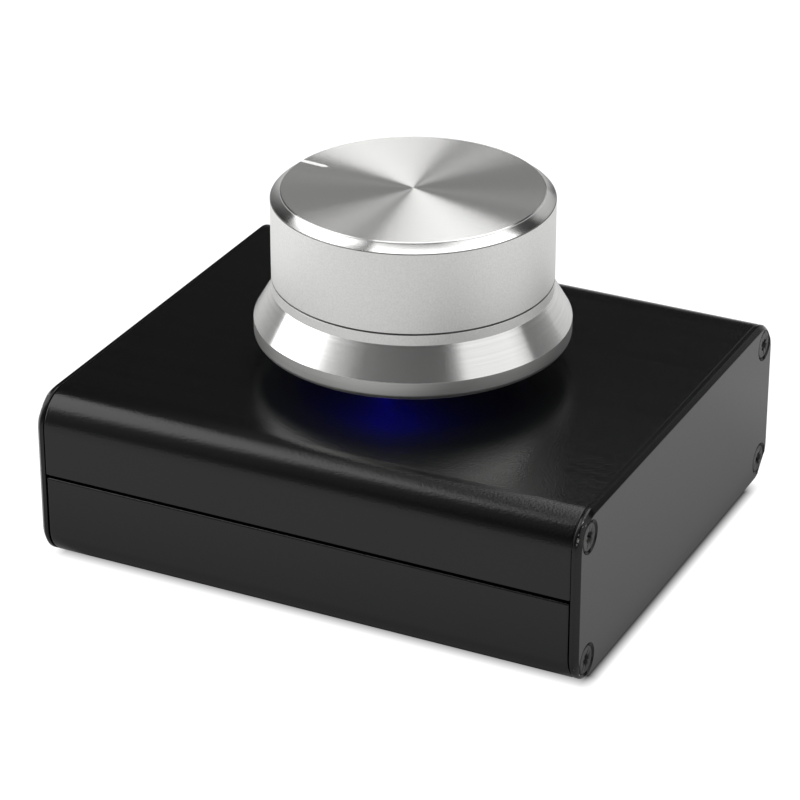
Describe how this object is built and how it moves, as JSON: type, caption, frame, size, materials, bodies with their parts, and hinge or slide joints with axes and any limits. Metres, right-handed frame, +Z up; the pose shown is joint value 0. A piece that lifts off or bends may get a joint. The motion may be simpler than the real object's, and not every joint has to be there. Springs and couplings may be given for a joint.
{
  "type": "usb volume controller",
  "caption": "Desktop volume controller: split black aluminium case with end plates, a large turned aluminium knob that turns and presses, blue light under it, data socket at the rear",
  "frame": {"origin": "on the table under the knob's axis, at the middle of the box around the part, level with the foot pads' undersides", "axes": "+X along the case towards the blank front plate, +Y across the case, +Z up along the knob's axis; the rear plate with the socket is at -X"},
  "size_m": [0.082, 0.07, 0.052],
  "materials": {
    "black_case": "bead-blasted, black anodised, satin",
    "black_screw": "black oxide steel",
    "foot_rubber": "matte moulded rubber",
    "turned_aluminium": "turned and bright-cut, blasted on the side, clear anodised",
    "pointer_paint": "white filling paint",
    "blue_lamp": "lit blue epoxy lens",
    "board_laminate": "green solder mask on glass laminate",
    "plated_steel": "nickel-plated sheet and turned steel",
    "tinned_leads": "tinned",
    "gilt_contacts": "gilt spring bronze",
    "black_plastic": "moulded",
    "cast_zinc": "die-cast and machined thread",
    "capacitor_can": "drawn can",
    "white_plastic": "moulded"
  },
  "bodies": {
    "case": {"upper_shell": "black_case", "lower_shell": "black_case", "front_plate": "black_case", "rear_plate": "black_case", "front_plate_screws": "black_screw", "rear_plate_screws": "black_screw", "foot_pad_1": "foot_rubber", "foot_pad_2": "foot_rubber", "foot_pad_3": "foot_rubber", "foot_pad_4": "foot_rubber", "led": "blue_lamp", "circuit_board": "board_laminate", "usb_socket_shell": "plated_steel", "crystal": "plated_steel", "encoder_frame": "plated_steel", "lock_washer": "plated_steel", "panel_nut": "plated_steel", "snap_dome": "plated_steel", "chip_leads": "tinned_leads", "led_leads": "tinned_leads", "encoder_terminals": "tinned_leads", "usb_contacts": "gilt_contacts", "detent_spring": "gilt_contacts", "usb_socket_insert": "black_plastic", "controller_chip": "black_plastic", "encoder_housing": "black_plastic", "switch_cover": "black_plastic", "resistors": "black_plastic", "encoder_bush": "cast_zinc", "capacitors": "capacitor_can"},
    "plunger": {"switch_plunger": "white_plastic"},
    "knob": {"knob_body": "turned_aluminium", "pointer_line": "pointer_paint", "set_screw": "black_screw", "encoder_shaft": "plated_steel", "retaining_clip": "plated_steel"},
    "rotor": {"encoder_rotor": "white_plastic", "contact_brush": "gilt_contacts"}
  },
  "joints": [
    {"name": "knob_press", "type": "slide", "parent": "case", "child": "plunger", "axis": [0, 0, -1], "range_m": [0, 0.0005], "stiffness_N_per_m": 8000, "springref_m": -0.0003, "deforming": ["snap_dome"]},
    {"name": "knob_turn", "type": "hinge", "parent": "plunger", "child": "knob", "pos_m": [0, 0, 0.03], "axis": [0, 0, 1], "continuous": true},
    {"name": "rotor_turn", "type": "hinge", "parent": "case", "child": "rotor", "pos_m": [0, 0, 0.021], "axis": [0, 0, 1], "continuous": true}
  ],
  "couplings": [
    {"joint": "rotor_turn", "follows": "knob_turn", "ratio": 1}
  ]
}
